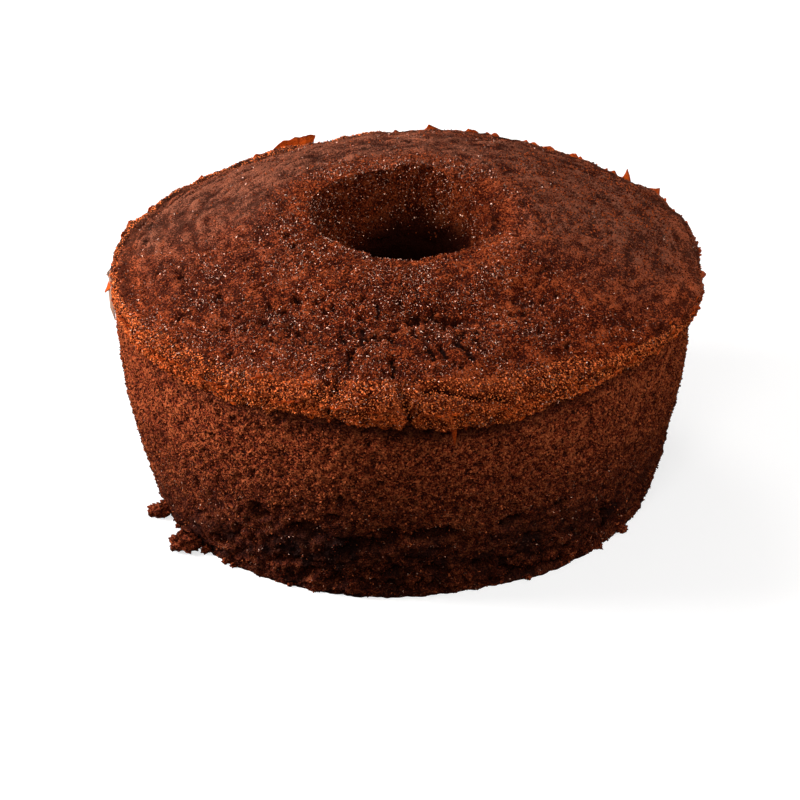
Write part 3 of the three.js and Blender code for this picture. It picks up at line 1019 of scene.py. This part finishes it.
def edgeLine(piece, pull, steps=800):  # the crust's furthest point at each turn, from the front round
    points = readAll(piece.data.vertices, "co", 3) / mm
    around = np.arctan2(points[:, 0], -points[:, 1])
    step = np.rint(np.degrees(around) % 360 * steps / 360) % steps
    upPull = pull[2] + (pull[1] - pull[2]) * np.abs(np.cos(around))
    reach = pull[0] * np.hypot(points[:, 0], points[:, 1]) + upPull * points[:, 2]
    order = np.lexsort((reach, step))
    last = np.append(np.diff(step[order]) > 0, True)
    line = points[order][last]
    return sum(np.roll(line, shift, 0) for shift in range(-3, 4)) / 7


def pointAlong(line, turn):
    step = turn % 360 / 360 * len(line)
    before = int(step)
    after = (before + 1) % len(line)
    return Vector(line[before % len(line)]).lerp(Vector(line[after]), step - before)


def addFlake(bm, toneLayer, line, plan, flake, seed):
    turn, _, wide, heights, outward, upward, tone = flake
    columns = max(4, round(wide / plan["column"]))
    sheet = bmesh.ops.create_grid(bm, x_segments=columns, y_segments=3, size=0.5)["verts"]
    degreesWide = math.degrees(wide / pointAlong(line, turn).xy.length)
    for vert in sheet:
        across, up = vert.co.x + 0.5, vert.co.y + 0.5
        lean = plan["hook"] * (wide > 10) * up ** 2 * (1 - across) ** 6 / wide
        root = pointAlong(line, turn + (across - 0.5 - lean) * degreesWide)
        out = Vector((root.x, root.y, 0)).normalized()
        grow = (out * outward + Vector((0, 0, upward))).normalized()
        tall = np.interp(across * (len(heights) - 1), range(len(heights)), heights)
        tall *= 1 + 0.12 * noise.noise((across * wide / 2, seed * 3.7, 0))
        curl = 0.4 * up * noise.noise((across * wide / 6, up, seed * 1.9))
        curl += plan["bulge"] * 4 * up * (1 - up) * tall / max(heights)
        vert.co = (root + grow * (up * (tall + plan["tuck"]) - plan["tuck"]) + out * curl) * mm
        vert[toneLayer] = tone + 0.3 * noise.noise((across * wide / 6, up * 2, seed)) + 0.3 * (across - up)


def smallJag(draw):
    edge = ("top", "side", "side", "lip")[draw.integers(4)]
    heights = (0.1, *draw.uniform(0.3, 1.6, 2), 0.1)
    outward, upward = {"top": (0.5, 1), "side": (1, draw.uniform(-0.3, 0.6)), "lip": (0.4, -1)}[edge]
    turn = draw.uniform(-180, 180)
    wide = draw.uniform(1.2, 4.5)
    return turn, edge, wide, heights, outward, upward, draw.uniform(0.1, 0.8)


def makeFlakes(name, plan, material):
    bm = bmesh.new()
    toneLayer = bm.verts.layers.float.new("tone")
    draw = np.random.default_rng(plan["seed"])
    lines = {edge: edgeLine(crust, pull) for edge, pull in plan["edges"].items()}
    flakes = list(plan["named"]) + [smallJag(draw) for _ in range(plan["around"])]
    for number, flake in enumerate(flakes):
        addFlake(bm, toneLayer, lines[flake[1]], plan, flake, number)
    bmesh.ops.recalc_face_normals(bm, faces=bm.faces)
    bmesh.ops.solidify(bm, geom=bm.faces[:], thickness=plan["thick"] * mm)
    addPiece(name, meshFrom(bm, name), material)


makeFlakes("rimFlakes", flakePlan, bakedFlake)
makeFlakes("peelingSkin", skinPlan, paleSkin)

# Crumbs broken off at the foot, each touching it and lying on the floor

footCrumbPlan = {
    "large": (  # across and along place, long, wide, tall
        (-98.5, -30.5, 9, 6, 6), (-88.5, -57.5, 10.5, 9, 7),
    ),
    "small": 14, "leftFront": 8,  # how many, and how many of them lie at the left and in front
    "smallSize": (2, 4),
    "lift": 0.42,  # share of its height that a crumb's middle lies above the floor
    "tone": 0.48, "pit": 0.35,
    "seed": 31,
}


def addCrumb(bm, place, size, lift, seed):
    lump = bmesh.ops.create_icosphere(bm, subdivisions=4, radius=0.5)["verts"]
    for vert in lump:
        dent = 1 + 0.6 * noise.noise(vert.co * 4 + Vector((seed, 0, 0)))
        dent += 0.4 * noise.noise(vert.co * 9) + 0.25 * noise.noise(vert.co * 19)
        spot = vert.co * dent
        lifted = max(spot.z * size[2] + size[2] * lift, 0)
        vert.co = Vector((place[0] + spot.x * size[0], place[1] + spot.y * size[1], lifted)) * mm


def makeFootCrumbs(form, plan):
    bm = bmesh.new()
    draw = np.random.default_rng(plan["seed"])
    for number, (x, y, long, wide, tall) in enumerate(plan["large"]):
        addCrumb(bm, (x, y), (long, wide, tall), plan["lift"], number * 7)
    for number in range(plan["small"]):
        turns = (-100, -20) if number < plan["leftFront"] else (-180, 180)
        around = math.radians(draw.uniform(*turns))
        size = draw.uniform(*plan["smallSize"])
        reach = form["footRadius"] + 0.3 * size
        place = (reach * math.sin(around), -reach * math.cos(around))
        addCrumb(bm, place, (size, size, size * 0.8), plan["lift"], number * 3)
    bmesh.ops.recalc_face_normals(bm, faces=bm.faces)
    mesh = meshFrom(bm, "footCrumbs")
    mesh.shade_smooth()
    addMark(mesh, "tone", np.full(len(mesh.vertices), plan["tone"]))
    addMark(mesh, "pit", np.full(len(mesh.vertices), plan["pit"]))
    addPiece("footCrumbs", mesh, crumbSkin)


makeFootCrumbs(cakeForm, footCrumbPlan)

# Floor, world and lights, in metres and watts

studio = {
    "floorSize": 14,
    "floorColour": (0.5, 0.5, 0.5, 1),
    "floorGlow": 0.66,
    "floorFade": (0.6, 2.2),  # distances from the cake over which the floor turns white by itself
    "skyLight": 0.17,
    "horizon": (-0.1, 0.15),  # heights of a ray over which the sky's light begins
    "aimHeight": 0.06,
    "lights": (  # name, turn, elevation, distance, size, watts, whether it only makes glints
        ("left", -93, 20, 1.2, 0.6, 27, False),
        ("back", -160, 50, 1.4, 0.45, 4, False),
        ("right", 72, 28, 1.3, 0.8, 7.5, False),
        ("front", -10, 32, 1.5, 0.5, 5.4, False),
        ("overhead", -160, 55, 1.4, 0.9, 37, True),
        ("nearCamera", 15, 50, 1.5, 0.8, 19, True),
    ),
}


def makeFloor(plan):
    bm = bmesh.new()
    bmesh.ops.create_grid(bm, x_segments=2, y_segments=2, size=plan["floorSize"] / 2)
    mesh = meshFrom(bm, "floor")
    floor = bpy.data.objects.new("floor", mesh)
    scene.collection.objects.link(floor)
    material, tree, shader, coords = newMaterial("paleFloor", 0.2, 0.9)
    shader.inputs["Base Color"].default_value = plan["floorColour"]
    shader.inputs["Emission Color"].default_value = (1, 1, 1, 1)
    away = addNode(tree, "VectorMath", {"operation": "LENGTH"}, {0: coords}).outputs["Value"]
    glow = ramp(tree, away, *plan["floorFade"], plan["floorGlow"], 1.0)
    tree.links.new(glow, shader.inputs["Emission Strength"])
    mesh.materials.append(material)
    floor.visible_diffuse = False  # no bounce onto the foot
    floor.visible_glossy = False


def makeWorld(plan):
    world = bpy.data.worlds.new("studio")
    scene.world = world
    world.use_nodes = True
    tree = world.node_tree
    background = tree.nodes["Background"]
    background.inputs["Color"].default_value = (1, 1, 1, 1)
    ray = tree.nodes.new("ShaderNodeTexCoord").outputs["Generated"]
    upward = addNode(tree, "SeparateXYZ", {}, {0: ray}).outputs["Z"]
    sky = ramp(tree, upward, *plan["horizon"], 0.0, plan["skyLight"])
    seen = addNode(tree, "LightPath", {}, {}).outputs["Is Camera Ray"]
    tree.links.new(sums(tree, "MAXIMUM", sky, seen), background.inputs["Strength"])


def makeLights(plan):
    for name, turn, elevation, distance, size, watts, onlyGlints in plan["lights"]:
        lamp = bpy.data.lights.new(name, "AREA")
        lamp.shape = "DISK"
        lamp.size = size
        lamp.energy = watts
        light = bpy.data.objects.new(name, lamp)
        light.visible_diffuse = not onlyGlints
        scene.collection.objects.link(light)
        around, tilt = math.radians(turn), math.radians(elevation)
        level = math.cos(tilt)
        away = Vector((math.sin(around) * level, -math.cos(around) * level, math.sin(tilt)))
        light.location = away * distance + Vector((0, 0, plan["aimHeight"]))
        light.rotation_mode = "QUATERNION"
        light.rotation_quaternion = away.to_track_quat("Z", "Y")


makeFloor(studio)
makeWorld(studio)
makeLights(studio)
scene.view_settings.view_transform = "Standard"
print("studio set")
